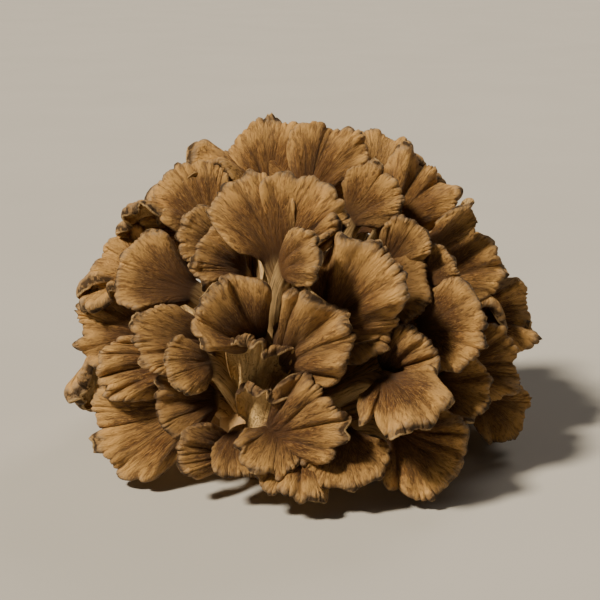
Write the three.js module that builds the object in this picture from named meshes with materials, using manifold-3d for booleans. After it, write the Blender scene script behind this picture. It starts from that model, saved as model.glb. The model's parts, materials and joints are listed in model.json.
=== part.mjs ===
// A maitake mushroom (hen of the woods), standing on the cut underside of its butt.
//
// One solid butt sends out thick limbs. A rosette of fronds leaves it: each frond is a
// stalk that flares into a thin fan-shaped cap. The rosette opens to the front, low on the
// left, where the stalks show, and its caps close into a dome at the sides and the back.
//
// Millimetres, +Z up, -Y is the front. The origin is the middle of the footprint, on the
// surface that the mushroom stands on.

import * as THREE from "three";
import { mergeVertices } from "three/addons/utils/BufferGeometryUtils.js";
import Module from "manifold-3d";

const wasm = await Module();
wasm.setup();

// ---- Driving dimensions ---------------------------------------------------------------

const DOME_RADIUS = 110; // the caps' tips lie near a sphere of this radius
const DOME_CENTRE = new THREE.Vector3(-2.7, -6.7, 39);

const BUTT = {
  centre: new THREE.Vector3(-16, -22, -25).add(DOME_CENTRE), // the limbs and stalks fan out from here
  radius: 27,
  cutRadius: 22, // of the flat underside where the mushroom was cut from its log
  lumps: 5,
  lumpHeight: 0.05, // as a share of the radius
};
const LIMB_WIDTH = 17; // degrees

const STALK = { footHalfWidth: 5.2, footHalfThickness: 4.2, neckHalfWidth: 6, neckHalfThickness: 3 };
const STALK_DEPTH = 3; // how far a stalk's foot reaches into the butt before it is cut to fit
const STALK_REACH = 0.4; // how far a stalk keeps its first direction, as a share of its span

const CAP = {
  rimHalfThickness: 1.3,
  rimTaper: 0.35, // the rim's very edge, as a share of that
  sideRound: 6, // how much squarer the cap's section is than the stalk's ellipse
  corner: 0.38, // how much shorter the rays at a cap's sides are than the middle one
  flare: 0.3, // the share of a cap's length over which its rays turn out
};
const OUTWARD = 0.5; // how much a cap looks away from the dome's centre
const GAP = 0.4; // clear distance between neighbouring nodes
const REST_HEIGHT = 1.6; // how high the middle of a cap lies where it rests on the surface
const REST_SOFTNESS = 6; // the height over which a drooping cap flattens on the surface

const STALK_STEPS = 2;
const CAP_STEPS = 4;
const ACROSS = 6; // facets from one side edge of a frond to the other
const PATH_STEPS = 20; // fine steps that each ray of a cap is summed over
const BUTT_AROUND = 32;
const BUTT_DOWN = 10; // rows from the crown of the butt to its waist
const MERGE_DISTANCE = 0.001; // corners closer than this are one corner

// ---- The growth table -----------------------------------------------------------------
// A place is [bearing, rise, reach]: degrees from the front towards +X, degrees above the
// dome's centre, and the distance from that centre as a share of DOME_RADIUS. A row holds
// the frond's name, the place of its neck (where the stalk becomes the cap), the place of
// its tip, the cap's half spread, how far it curls back, how deep its sides fold up, and
// its roll about its own length (at 180 it shows its pale underside to the front).

const FRONT = [
  ["crown_left", [-12, 51, 0.73], [-36, 64, 0.97], 44, 45, 35, 0],
  ["crown_mid", [-11, 52, 0.67], [9, 66, 0.98], 48, 40, 35, 0],
  ["crown_fold", [-3, 52, 0.69], [16, 58, 0.92], 26, 30, 60, -30],
  ["crown_lip", [-5, 43, 0.83], [6, 43, 0.98], 42, 60, 30, 0],
  ["top_right", [63, 70, 0.70], [66, 64, 0.94], 50, 45, 35, 0],
  ["top_far_right", [90, 58, 0.68], [107, 55, 1.02], 52, 65, 30, 0],
  ["top_right_tip", [75, 46, 0.76], [88, 44, 0.99], 16, 20, 50, 50],
  ["right_hero", [10, 31, 0.58], [29, 43, 0.94], 54, 40, 30, 0],
  ["right_hero_low", [16, 33, 0.53], [32, 27, 0.77], 56, 45, 30, 0],
  ["right_hero_back", [43, 43, 0.58], [53, 35, 0.79], 68, 50, 30, 0],
  ["right_fold", [54, 49, 0.68], [55, 50, 0.89], 36, 60, 50, 0],
  ["right_upper", [86, 33, 0.65], [91, 33, 0.97], 56, 75, 35, 0],
  ["right_small", [60, 38, 0.75], [60, 38, 0.88], 56, 50, 30, 0],
  ["right_mid", [52, 23, 0.65], [56, 21, 0.94], 66, 45, 30, 0],
  ["right_outer", [94, 14, 0.71], [96, 10, 1.03], 54, 80, 35, 0],
  ["right_side", [72, 4, 0.64], [78, 4, 0.93], 54, 75, 30, 0],
  ["right_under", [58, 2, 0.64], [57, -1, 0.88], 58, 50, 30, 0],
  ["right_low", [83, -9, 0.75], [84, -13, 0.98], 66, 75, 30, 0],
  ["hook", [39, 12, 0.57], [39, 20, 0.85], 36, 70, 40, 0],
  ["split", [29, 10, 0.68], [27, 1, 0.97], 62, 45, 35, 0],
  ["skirt_right", [34, -8, 0.67], [40, -15, 0.95], 72, 45, 25, 0],
  ["skirt_mid", [14, -7, 0.63], [13, -16, 0.87], 62, 45, 25, 0],
  ["skirt_front", [0, -13, 0.64], [-2, -17, 0.90], 58, 60, 30, 0],
  ["front_hero", [-9, -7, 0.64], [12, 6, 0.81], 50, 45, 30, 0],
  ["mid_hero", [-6, 18, 0.55], [13, 30, 0.86], 50, 50, 35, 0],
  ["mid_left", [-18, 26, 0.60], [-28, 34, 0.90], 50, 50, 35, 0],
  ["left_hero", [-56, 37, 0.65], [-68, 33, 0.94], 52, 50, 35, 0],
  ["left_curl_top", [-55, 55, 0.66], [-57, 50, 0.88], 46, 70, 40, 0],
  ["left_curl", [-36, 50, 0.62], [-43, 44, 0.85], 46, 70, 40, 0],
  ["left_fold", [-42, 21, 0.55], [-52, 18, 0.88], 34, 50, 50, 0],
  ["left_spoon", [-32, 15, 0.70], [-35, 13, 0.90], 44, 60, 40, 0],
  ["left_back", [-83, 13, 0.61], [-87, 11, 0.96], 46, 80, 35, 0],
  ["left_mid", [-51, 10, 0.56], [-61, 6, 0.94], 27, 60, 30, 0],
  ["left_skirt", [-46, -4, 0.53], [-62, -11, 0.97], 46, 60, 25, 0],
  ["left_inner", [-41, -2, 0.53], [-46, 0, 0.79], 46, 50, 35, 0],
  ["left_low", [-30, -18, 0.61], [-36, -9, 0.82], 32, 60, 45, 0],
  ["butt_lip", [-22, -10, 0.63], [-18, -15, 0.82], 32, 50, 40, 0],
  ["trumpet_low", [-17, -12, 0.58], [-9, 10, 0.74], 34, 60, 70, 180],
  ["trumpet", [-21, 1, 0.54], [-13, 24, 0.79], 33, 60, 70, 180],
  ["left_upper", [-93, 29, 0.65], [-97, 29, 0.98], 54, 80, 35, 0],
  ["top_left", [-84, 58, 0.67], [-100, 58, 0.99], 48, 75, 35, 0],
  ["left_shelf", [-104, 51, 0.69], [-100, 44, 0.94], 42, 70, 35, 0],
  ["top_left_back", [-132, 62, 0.73], [-134, 57, 0.98], 54, 75, 35, 0],
  ["top_back", [-134, 75, 0.68], [-166, 70, 1.06], 46, 70, 35, 0],
  ["top_mid", [154, 84, 0.68], [143, 72, 1.03], 44, 70, 35, 0],
  ["top_right_back", [137, 57, 0.77], [142, 56, 1.11], 46, 75, 35, 0],
];

// Some stalks fork. A row holds the name of the frond whose neck this second cap grows from,
// the place of its tip, its spread, curl, fold and roll, and the bearing that its face looks to.
const FORKS = [
  ["front_hero", [-11, -11, 0.86], 50, 50, 30, 0, 0],
  ["left_upper", [-88, 14, 0.96], 58, 60, 30, 0, -90],
  ["left_back", [-106, -6, 0.88], 52, 60, 25, 0, -105],
  ["left_shelf", [-92, 38, 0.98], 50, 60, 30, 0, -95],
  ["top_back", [-130, 56, 1.00], 56, 60, 25, 0, -135],
  ["top_mid", [178, 60, 1.00], 62, 60, 25, 0, 180],
  ["top_right_back", [112, 46, 1.00], 50, 60, 25, 0, 115],
  ["right_outer", [98, 12, 0.98], 54, 60, 25, 0, 95],
  ["right_low", [95, -12, 0.95], 50, 60, 25, 0, 95],
];

// The back's broad caps stand in rings. Each cap's own roll tucks it under its neighbour.
const BACK_RINGS = [
  { name: "back_skirt", bearings: [112, 149, 187, 225, 262], neck: [12, 0.62], tip: [-15, 1.0], spread: 74 },
  { name: "back_middle", bearings: [104, 141, 178, 215, 252], neck: [38, 0.62], tip: [10, 1.0], spread: 66 },
  { name: "back_upper", bearings: [124, 180, 236], neck: [66, 0.6], tip: [37, 0.99], spread: 78 },
];
const BACK_CAP = { curl: 60, fold: 20, roll: 18 };

// Where the caps look: the front rosette's to the front, the back's each along its bearing.
const FACE_OUT = 0.9;
const FACE_UP = 0.44;

const deg = THREE.MathUtils.degToRad;

// ---- Frames and outlines --------------------------------------------------------------

function place([bearing, rise, reach]) {
  const b = deg(bearing);
  const r = deg(rise);
  return new THREE.Vector3(Math.sin(b) * Math.cos(r), -Math.cos(b) * Math.cos(r), Math.sin(r))
    .multiplyScalar(reach * DOME_RADIUS)
    .add(DOME_CENTRE);
}

// The distance from the butt's centre to its skin in a direction: a lumpy core, and a
// rounded limb wherever the direction is close to one of the limbs'.
const LIMBS = [
  { towards: [-12, 56, 0.4], reach: 58 },
  { towards: [60, 30, 0.4], reach: 54 },
  { towards: [170, 35, 0.35], reach: 52 },
  { towards: [-80, 20, 0.5], reach: 46 },
  { towards: [30, -10, 0.4], reach: 42 },
].map(({ towards, reach }) => ({
  axis: place(towards).sub(BUTT.centre).normalize(),
  reach,
}));

function buttSkin(direction) {
  const lumps = 1 + BUTT.lumpHeight * Math.sin(BUTT.lumps * Math.atan2(direction.y, direction.x));
  let skin = BUTT.radius * lumps;
  for (const limb of LIMBS) {
    const off = limb.axis.angleTo(direction) / deg(LIMB_WIDTH);
    skin += (limb.reach - BUTT.radius) * Math.exp(-off * off);
  }
  return skin;
}

// A cap's own axes: along its length, up out of its brown face, and across it.
function frameOf({ neck: neckPlace, tip: tipPlace, curl, roll, faceBearing }) {
  const neck = place(neckPlace);
  const tip = place(tipPlace);
  const along = tip.clone().sub(neck);
  const chord = along.length();
  along.normalize();
  const outward = neck.clone().add(tip).multiplyScalar(0.5).sub(DOME_CENTRE).normalize();
  const b = deg(faceBearing);
  const up = new THREE.Vector3(Math.sin(b) * FACE_OUT, -Math.cos(b) * FACE_OUT, FACE_UP);
  up.addScaledVector(outward, OUTWARD);
  up.addScaledVector(along, -up.dot(along)).normalize().applyAxisAngle(along, -deg(roll));
  const across = along.clone().cross(up);
  const arc = chord * (1 + deg(curl) ** 2 / 24); // the length of a shallow arc over its chord
  return { neck, along, up, across, length: arc };
}

// ---- The shape of one frond -----------------------------------------------------------

// A drooping cap flattens where it meets the surface that the mushroom stands on.
function restOnSurface(point) {
  const high = point.z - REST_HEIGHT;
  if (high < REST_SOFTNESS) {
    point.z = REST_HEIGHT + REST_SOFTNESS * Math.exp(high / REST_SOFTNESS - 1);
  }
  return point;
}

// The middle surface of a cap. side runs from -1 to 1 across it. Each ray leaves the neck
// along the frond, turns out to its own angle, and rises and falls with its own slope.
function capRay(frond, side) {
  const { frame, spread, curl, fold, halfWidth } = frond;
  const reach = frame.length * (1 - CAP.corner * side ** 4);
  const point = frame.neck.clone().addScaledVector(frame.across, halfWidth * side);
  const ray = [restOnSurface(point.clone())];
  const step = new THREE.Vector3();
  for (let i = 0; i < PATH_STEPS; i++) {
    const s = (i + 0.5) / PATH_STEPS;
    const turn = (side * deg(spread) * (1 + CAP.flare) * s) / (s + CAP.flare);
    const slope = deg(curl) * (0.5 - s) + deg(fold) * side * side * (1 - s) * (1 - s);
    step
      .copy(frame.along)
      .multiplyScalar(Math.cos(turn))
      .addScaledVector(frame.across, Math.sin(turn))
      .multiplyScalar(Math.cos(slope))
      .addScaledVector(frame.up, Math.sin(slope));
    point.addScaledVector(step, reach / PATH_STEPS);
    if ((i + 1) % (PATH_STEPS / CAP_STEPS) === 0) {
      ray.push(restOnSurface(point.clone()));
    }
  }
  return ray;
}

// Two skins, one on each side of a row of middle points, joined at the side edges.
function ringOf(middle, normals, halfThickness, roundness) {
  const half = middle.map((_, i) => {
    const side = Math.abs((2 * i) / ACROSS - 1);
    return halfThickness * (1 - side ** roundness) ** (1 / roundness);
  });
  const upper = middle.map((p, i) => p.clone().addScaledVector(normals[i], half[i]));
  const lower = middle.map((p, i) => p.clone().addScaledVector(normals[i], -half[i]));
  return [...upper, ...lower.slice(1, -1).reverse()];
}

function stalkRings(frond) {
  const { frame, curl, halfWidth } = frond;
  const lean = frame.neck.clone().sub(BUTT.centre).normalize();
  const foot = BUTT.centre.clone().addScaledVector(lean, buttSkin(lean) - STALK_DEPTH);
  const span = foot.distanceTo(frame.neck);
  const bend = deg(curl) / 2;
  const leave = frame.along.clone().multiplyScalar(Math.cos(bend)).addScaledVector(frame.up, Math.sin(bend));
  const path = new THREE.CubicBezierCurve3(
    foot,
    foot.clone().addScaledVector(lean, span * STALK_REACH),
    frame.neck.clone().addScaledVector(leave, -span * STALK_REACH),
    frame.neck,
  );
  const rings = [];
  for (let i = 0; i < STALK_STEPS; i++) {
    const u = i / STALK_STEPS;
    const centre = path.getPoint(u);
    const ahead = path.getTangent(u);
    const across = frame.across.clone().addScaledVector(ahead, -frame.across.dot(ahead)).normalize();
    const up = across.clone().cross(ahead);
    const wide = THREE.MathUtils.lerp(STALK.footHalfWidth, halfWidth, u) + frond.grow;
    const thick = THREE.MathUtils.lerp(STALK.footHalfThickness, STALK.neckHalfThickness, u) + frond.grow;
    const middle = [];
    for (let j = 0; j <= ACROSS; j++) {
      middle.push(centre.clone().addScaledVector(across, wide * ((2 * j) / ACROSS - 1)));
    }
    rings.push(ringOf(middle, middle.map(() => up), thick, 2));
  }
  return rings;
}

function capRings(frond) {
  const rays = [];
  for (let j = 0; j <= ACROSS; j++) {
    rays.push(capRay(frond, (2 * j) / ACROSS - 1));
  }
  const rings = [];
  for (let i = 0; i <= CAP_STEPS; i++) {
    const s = i / CAP_STEPS;
    const middle = rays.map((ray) => ray[i]);
    const normals = middle.map((_, j) => {
      const left = middle[Math.max(j - 1, 0)];
      const right = middle[Math.min(j + 1, ACROSS)];
      const ahead = rays[j][Math.min(i + 1, CAP_STEPS)].clone().sub(rays[j][Math.max(i - 1, 0)]);
      return right.clone().sub(left).cross(ahead).normalize();
    });
    const thin = CAP.rimHalfThickness + (STALK.neckHalfThickness - CAP.rimHalfThickness) * (1 - s) ** 3;
    const thickness = thin * (i === CAP_STEPS ? CAP.rimTaper : 1) + frond.grow;
    rings.push(ringOf(middle, normals, thickness, 2 + CAP.sideRound * s));
  }
  return rings;
}

// ---- Rings to closed solids -----------------------------------------------------------

function solidFrom(points, triangles) {
  const geometry = new THREE.BufferGeometry();
  const numbers = points.flatMap((point) => point.toArray());
  geometry.setAttribute("position", new THREE.Float32BufferAttribute(numbers, 3));
  geometry.setIndex(triangles);
  const merged = mergeVertices(geometry, MERGE_DISTANCE);
  return new wasm.Manifold(
    new wasm.Mesh({
      numProp: 3,
      vertProperties: merged.attributes.position.array,
      triVerts: new Uint32Array(merged.index.array),
    }),
  );
}

// Skins a stack of equal rings, and closes each end with a strip between its two halves.
function loft(rings) {
  const size = rings[0].length;
  const triangles = [];
  for (let i = 0; i + 1 < rings.length; i++) {
    for (let j = 0; j < size; j++) {
      const a = i * size + j;
      const b = i * size + ((j + 1) % size);
      triangles.push(a, b, a + size, b, b + size, a + size);
    }
  }
  const last = (rings.length - 1) * size;
  for (let j = 0; j < size / 2; j++) {
    const [a, b, c, d] = [j, j + 1, size - j - 1, (size - j) % size];
    if (b !== c) {
      triangles.push(a, c, b, last + a, last + b, last + c);
    }
    if (a !== d) {
      triangles.push(a, d, c, last + a, last + c, last + d);
    }
  }
  return solidFrom(rings.flat(), triangles);
}

function frondSolid(frond, grow) {
  const grown = { ...frond, frame: frameOf(frond), grow, halfWidth: STALK.neckHalfWidth + grow };
  const solid = loft([...stalkRings(grown), ...capRings(grown)]);
  return frond.fork ? solid.add(frondSolid(frond.fork, grow)) : solid;
}

// ---- The butt --------------------------------------------------------------------------

// A skin over the limbs and core down to the waist, and a wall from there that narrows to
// the flat underside where the mushroom was cut from its log.
function buttSolid(grow) {
  const { centre, cutRadius } = BUTT;
  const points = [];
  const direction = new THREE.Vector3();
  const top = buttSkin(direction.set(0, 0, 1)) + grow;
  points.push(centre.clone().addScaledVector(direction, top));
  for (let i = 1; i <= BUTT_DOWN; i++) {
    const polar = (Math.PI / 2) * (i / BUTT_DOWN);
    for (let j = 0; j < BUTT_AROUND; j++) {
      const turn = (2 * Math.PI * j) / BUTT_AROUND;
      direction.set(Math.sin(polar) * Math.cos(turn), Math.sin(polar) * Math.sin(turn), Math.cos(polar));
      points.push(centre.clone().addScaledVector(direction, buttSkin(direction) + grow));
    }
  }
  for (let j = 0; j < BUTT_AROUND; j++) {
    const turn = (2 * Math.PI * j) / BUTT_AROUND;
    direction.set(Math.cos(turn), Math.sin(turn), 0);
    points.push(centre.clone().addScaledVector(direction, cutRadius + grow).setZ(0));
  }
  points.push(centre.clone().setZ(0));
  const triangles = [];
  const rows = BUTT_DOWN + 1;
  const under = points.length - 1;
  for (let j = 0; j < BUTT_AROUND; j++) {
    const next = (j + 1) % BUTT_AROUND;
    triangles.push(0, 1 + j, 1 + next);
    for (let i = 0; i + 1 < rows; i++) {
      const a = 1 + i * BUTT_AROUND;
      const b = a + BUTT_AROUND;
      triangles.push(a + j, b + j, a + next, a + next, b + j, b + next);
    }
    const last = 1 + (rows - 1) * BUTT_AROUND;
    triangles.push(last + j, under, last + next);
  }
  return solidFrom(points, triangles);
}

// ---- Assembly --------------------------------------------------------------------------

const rows = FRONT.map(([name, neck, tip, spread, curl, fold, roll]) => {
  return { name, neck, tip, spread, curl, fold, roll, faceBearing: 0 };
});
for (const [name, tip, spread, curl, fold, roll, faceBearing] of FORKS) {
  const stem = rows.find((row) => row.name === name);
  stem.fork = { ...stem, tip, spread, curl, fold, roll, faceBearing };
}
for (const { name, bearings, neck, tip, spread } of BACK_RINGS) {
  bearings.forEach((bearing, i) => {
    rows.push({
      ...BACK_CAP,
      name: `${name}_${i + 1}`,
      spread,
      neck: [bearing, ...neck],
      tip: [bearing, ...tip],
      faceBearing: bearing,
    });
  });
}

// The largest piece of a solid: a cut can leave chips.
function largest(solid) {
  return solid.decompose().sort((a, b) => b.volume() - a.volume())[0];
}

function cutAway(solid, others) {
  for (const other of others) {
    if (other.intersect(solid).volume() > 0) {
      solid = solid.subtract(other);
    }
  }
  return solid;
}

// Growing fronds stop where they meet one another: each is cut back from the ones before it.
const solids = new Map([["butt", buttSolid(0)]]);
const keptClear = [buttSolid(GAP)];
for (const row of rows) {
  const solid = cutAway(cutAway(frondSolid(row, 0), keptClear), solids.values());
  solids.set(row.name, largest(solid));
  keptClear.push(frondSolid(row, GAP));
}

const BUTT_COLOUR = 0xc9b48f;
const FROND_COLOUR = 0x9a6f45;

function meshOf(solid, name, colour) {
  const { vertProperties, triVerts } = solid.getMesh();
  const geometry = new THREE.BufferGeometry();
  geometry.setAttribute("position", new THREE.BufferAttribute(vertProperties, 3));
  geometry.setIndex(new THREE.BufferAttribute(triVerts, 1));
  const material = new THREE.MeshStandardMaterial({ color: colour, roughness: 0.7, metalness: 0 });
  const mesh = new THREE.Mesh(geometry, material);
  mesh.name = name;
  return mesh;
}

const maitake = new THREE.Group();
for (const [name, solid] of solids) {
  maitake.add(meshOf(solid, name, name === "butt" ? BUTT_COLOUR : FROND_COLOUR));
}

export default maitake;
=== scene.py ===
import json
import math

import bpy
import numpy as np
from bpy.props import FloatProperty, FloatVectorProperty, IntProperty, PointerProperty
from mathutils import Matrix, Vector


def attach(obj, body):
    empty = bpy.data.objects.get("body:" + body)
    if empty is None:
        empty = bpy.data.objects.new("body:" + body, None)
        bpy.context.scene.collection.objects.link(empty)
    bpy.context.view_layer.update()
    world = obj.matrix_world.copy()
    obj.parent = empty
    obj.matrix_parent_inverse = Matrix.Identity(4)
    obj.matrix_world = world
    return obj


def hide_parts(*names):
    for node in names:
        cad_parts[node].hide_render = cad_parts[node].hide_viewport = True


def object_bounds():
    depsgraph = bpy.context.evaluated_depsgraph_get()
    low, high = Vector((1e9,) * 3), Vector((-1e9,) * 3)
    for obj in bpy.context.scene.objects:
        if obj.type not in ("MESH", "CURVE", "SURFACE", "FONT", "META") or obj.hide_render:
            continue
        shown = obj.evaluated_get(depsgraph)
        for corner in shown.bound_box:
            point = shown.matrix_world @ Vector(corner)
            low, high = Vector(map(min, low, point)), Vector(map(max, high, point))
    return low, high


bl_info = {
    "name": "Maitake mushroom",
    "version": (1, 0, 0),
    "blender": (4, 5, 0),
    "location": "View3D > Sidebar > Maitake",
    "description": "Grows a maitake mushroom: a butt with limbs, and a rosette of ruffled fronds",
    "category": "Add Mesh",
}

# ---- The frame --------------------------------------------------------------------------

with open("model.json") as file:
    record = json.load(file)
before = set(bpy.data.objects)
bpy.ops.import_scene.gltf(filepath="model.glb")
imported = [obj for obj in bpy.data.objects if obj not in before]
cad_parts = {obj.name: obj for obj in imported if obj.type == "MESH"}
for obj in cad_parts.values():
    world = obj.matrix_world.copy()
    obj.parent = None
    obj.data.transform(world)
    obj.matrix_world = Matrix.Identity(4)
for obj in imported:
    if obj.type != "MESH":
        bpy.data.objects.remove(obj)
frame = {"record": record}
CAD_BOX = [list(corner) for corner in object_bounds()]
CAD_HEIGHT = CAD_BOX[1][2] - CAD_BOX[0][2]
MM = 0.001
DEG = math.pi / 180

# The butt stands on its base mount, and the caps' tips lie near a sphere about the dome's centre.
BASE = np.array(frame["record"]["mounts"][0]["pos_m"])
BUTT_CENTRE = BASE + np.array([0, 0, 14]) * MM
DOME_CENTRE = BUTT_CENTRE + np.array([16, 22, 25]) * MM
DOME_SHARE = 0.7353  # the dome's radius as a share of the mushroom's height
DOME_RADIUS = round(DOME_SHARE * CAD_HEIGHT, 4)

# ---- The growth table -------------------------------------------------------------------
# A place is [bearing, rise, reach]: degrees from the front towards +X, degrees above the
# dome's centre, and the distance from that centre as a share of the dome's radius. A row
# holds the frond's name, the place of its neck (where the stalk becomes the cap), the place
# of its tip, the cap's half spread, how far it curls back, how deep its sides fold up, and
# its roll about its own length (at 180 it shows its pale underside to the front).

FRONT = [
    ("crown_left", (-12, 51, 0.73), (-36, 64, 0.97), 44, 45, 35, 0),
    ("crown_mid", (-11, 52, 0.67), (9, 66, 0.98), 48, 40, 35, 0),
    ("crown_fold", (-3, 52, 0.69), (16, 58, 0.92), 26, 30, 60, -30),
    ("crown_lip", (-5, 43, 0.83), (6, 43, 0.98), 42, 60, 30, 0),
    ("top_right", (63, 70, 0.70), (66, 64, 0.94), 50, 45, 35, 0),
    ("top_far_right", (90, 58, 0.68), (107, 55, 1.02), 52, 65, 30, 0),
    ("top_right_tip", (75, 46, 0.76), (88, 44, 0.99), 16, 20, 50, 50),
    ("right_hero", (10, 31, 0.58), (29, 43, 0.94), 54, 40, 30, 0),
    ("right_hero_low", (16, 33, 0.53), (32, 27, 0.77), 56, 45, 30, 0),
    ("right_hero_back", (43, 43, 0.58), (53, 35, 0.79), 68, 50, 30, 0),
    ("right_fold", (54, 49, 0.68), (55, 50, 0.89), 36, 60, 50, 0),
    ("right_upper", (86, 33, 0.65), (91, 33, 0.97), 56, 75, 35, 0),
    ("right_small", (60, 38, 0.75), (60, 38, 0.88), 56, 50, 30, 0),
    ("right_mid", (52, 23, 0.65), (56, 21, 0.94), 66, 45, 30, 0),
    ("right_outer", (94, 14, 0.71), (96, 10, 1.03), 54, 80, 35, 0),
    ("right_side", (72, 4, 0.64), (78, 4, 0.93), 54, 75, 30, 0),
    ("right_under", (58, 2, 0.64), (57, -1, 0.88), 58, 50, 30, 0),
    ("right_low", (83, -9, 0.75), (84, -13, 0.98), 66, 75, 30, 0),
    ("hook", (39, 12, 0.57), (39, 20, 0.85), 36, 70, 40, 0),
    ("split", (29, 10, 0.68), (27, 1, 0.97), 62, 45, 35, 0),
    ("skirt_right", (34, -8, 0.67), (40, -15, 0.95), 72, 45, 25, 0),
    ("skirt_mid", (14, -7, 0.63), (13, -16, 0.87), 62, 45, 25, 0),
    ("skirt_front", (0, -13, 0.64), (-2, -17, 0.90), 58, 60, 30, 0),
    ("front_hero", (-9, -7, 0.64), (12, 6, 0.81), 50, 45, 30, 0),
    ("mid_hero", (-6, 18, 0.55), (13, 30, 0.86), 50, 50, 35, 0),
    ("mid_left", (-18, 26, 0.60), (-28, 34, 0.90), 50, 50, 35, 0),
    ("left_hero", (-56, 37, 0.65), (-68, 33, 0.94), 52, 50, 35, 0),
    ("left_curl_top", (-55, 55, 0.66), (-57, 50, 0.88), 46, 70, 40, 0),
    ("left_curl", (-36, 50, 0.62), (-43, 44, 0.85), 46, 70, 40, 0),
    ("left_fold", (-42, 21, 0.55), (-52, 18, 0.88), 34, 50, 50, 0),
    ("left_spoon", (-32, 15, 0.70), (-35, 13, 0.90), 44, 60, 40, 0),
    ("left_back", (-83, 13, 0.61), (-87, 11, 0.96), 46, 80, 35, 0),
    ("left_mid", (-51, 10, 0.56), (-61, 6, 0.94), 27, 60, 30, 0),
    ("left_skirt", (-46, -4, 0.53), (-62, -11, 0.97), 46, 60, 25, 0),
    ("left_inner", (-41, -2, 0.53), (-46, 0, 0.79), 46, 50, 35, 0),
    ("left_low", (-30, -18, 0.61), (-36, -9, 0.82), 32, 60, 45, 0),
    ("butt_lip", (-22, -10, 0.63), (-18, -15, 0.82), 32, 50, 40, 0),
    ("trumpet_low", (-17, -12, 0.58), (-9, 10, 0.74), 34, 60, 70, 180),
    ("trumpet", (-21, 1, 0.54), (-13, 24, 0.79), 33, 60, 70, 180),
    ("left_upper", (-93, 29, 0.65), (-97, 29, 0.98), 54, 80, 35, 0),
    ("top_left", (-84, 58, 0.67), (-100, 58, 0.99), 48, 75, 35, 0),
    ("left_shelf", (-104, 51, 0.69), (-100, 44, 0.94), 42, 70, 35, 0),
    ("top_left_back", (-132, 62, 0.73), (-134, 57, 0.98), 54, 75, 35, 0),
    ("top_back", (-134, 75, 0.68), (-166, 70, 1.06), 46, 70, 35, 0),
    ("top_mid", (154, 84, 0.68), (143, 72, 1.03), 44, 70, 35, 0),
    ("top_right_back", (137, 57, 0.77), (142, 56, 1.11), 46, 75, 35, 0),
]

# Some stalks fork. A row holds the name of the frond whose neck this second cap grows from,
# the place of its tip, its spread, curl, fold and roll, and the bearing that its face looks to.
FORKS = [
    ("front_hero", (-11, -11, 0.86), 50, 50, 30, 0, 0),
    ("left_upper", (-88, 14, 0.96), 58, 60, 30, 0, -90),
    ("left_back", (-106, -6, 0.88), 52, 60, 25, 0, -105),
    ("left_shelf", (-92, 38, 0.98), 50, 60, 30, 0, -95),
    ("top_back", (-130, 56, 1.00), 56, 60, 25, 0, -135),
    ("top_mid", (178, 60, 1.00), 62, 60, 25, 0, 180),
    ("top_right_back", (112, 46, 1.00), 50, 60, 25, 0, 115),
    ("right_outer", (98, 12, 0.98), 54, 60, 25, 0, 95),
    ("right_low", (95, -12, 0.95), 50, 60, 25, 0, 95),
]

# The back's broad caps stand in rings: a ring's name, its caps' bearings, the rise and reach
# of their necks and of their tips, and their half spread. Their roll tucks each one under its
# neighbour.
BACK_RINGS = [
    ("back_skirt", (112, 149, 187, 225, 262), (12, 0.62), (-15, 1.0), 74),
    ("back_middle", (104, 141, 178, 215, 252), (38, 0.62), (10, 1.0), 66),
    ("back_upper", (124, 180, 236), (66, 0.6), (37, 0.99), 78),
]
BACK_CURL, BACK_FOLD, BACK_ROLL = 60, 20, 18

FACE_OUT, FACE_UP, OUTWARD = 0.9, 0.44, 0.5  # how much a cap looks forward, up, and out of the dome

# The butt's limbs: the place that each points to, and how far it reaches from the butt's
# centre in mm.
LIMBS = [
    ((-12, 56, 0.4), 58),
    ((60, 30, 0.4), 54),
    ((170, 35, 0.35), 52),
    ((-80, 20, 0.5), 46),
    ((30, -10, 0.4), 42),
]
LIMB_WIDTH = 17 * DEG
BUTT_RADIUS, CUT_RADIUS = 27 * MM, 22 * MM
STALK_DEPTH = 5 * MM  # how far a stalk's foot stands in the butt
STALK_REACH = 0.4  # how far its curve keeps to each end's direction, as a share of its length
FOOT_HALF_WIDTH, FOOT_HALF_THICKNESS = 5.2 * MM, 4.2 * MM
NECK_HALF_WIDTH, NECK_HALF_THICKNESS = 6 * MM, 3 * MM
SIDE_REACH = 0.3  # a side ray's share of the middle ray
ROUNDNESS = 2.2  # how late the rays shorten to it
FLARE = 0.3  # the share of a ray over which it turns out
SPREAD = 1.22  # the sides turn out further, because their rays are short
RIM_SCALLOP = 0.032  # how far the rim's lobes stand out, as a share of the ray
RIM_CRIMP = 0.014  # and the crimps on them
RIM_START = 0.965  # from here on a cap's section rounds off to its edge
ROLL_START = 0.82  # from here on the rim rolls down
PILLOW_PLACE, PILLOW_WIDTH = 0.9, 0.06  # where along the rays the rim's lobes swell
REST_HEIGHT, REST_SOFTNESS = 1.6 * MM, 6 * MM  # where drooping rims come to rest, and how softly

# How strongly a cap's surface moves, and how late along its rays. Slopes are in radians.
ARC_DIVISOR = 24  # a curled ray is longer than its straight way by its curl squared over this
WIDE_SPREAD = 55  # a cap that spreads this far has its ruffles at full strength
FUNNEL_ROLL, FUNNEL_CALM = 90, 0.4  # a cap rolled further is a funnel, with this share of the ruffles
RAY_DRIFT, SWAY = 0.035, 0.16  # how far rays stray from their angle, and a whole cap from its line
WAVE_LATENESS, FRILL_LATENESS, CRIMP_LATENESS = 1.6, 8, 16
DIMPLE_SLOPE = 0.3
MIDDLE_WAVE, SIDE_WAVE = 0.25, 1.1  # the big waves in the middle, and what they gain at the sides

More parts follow.
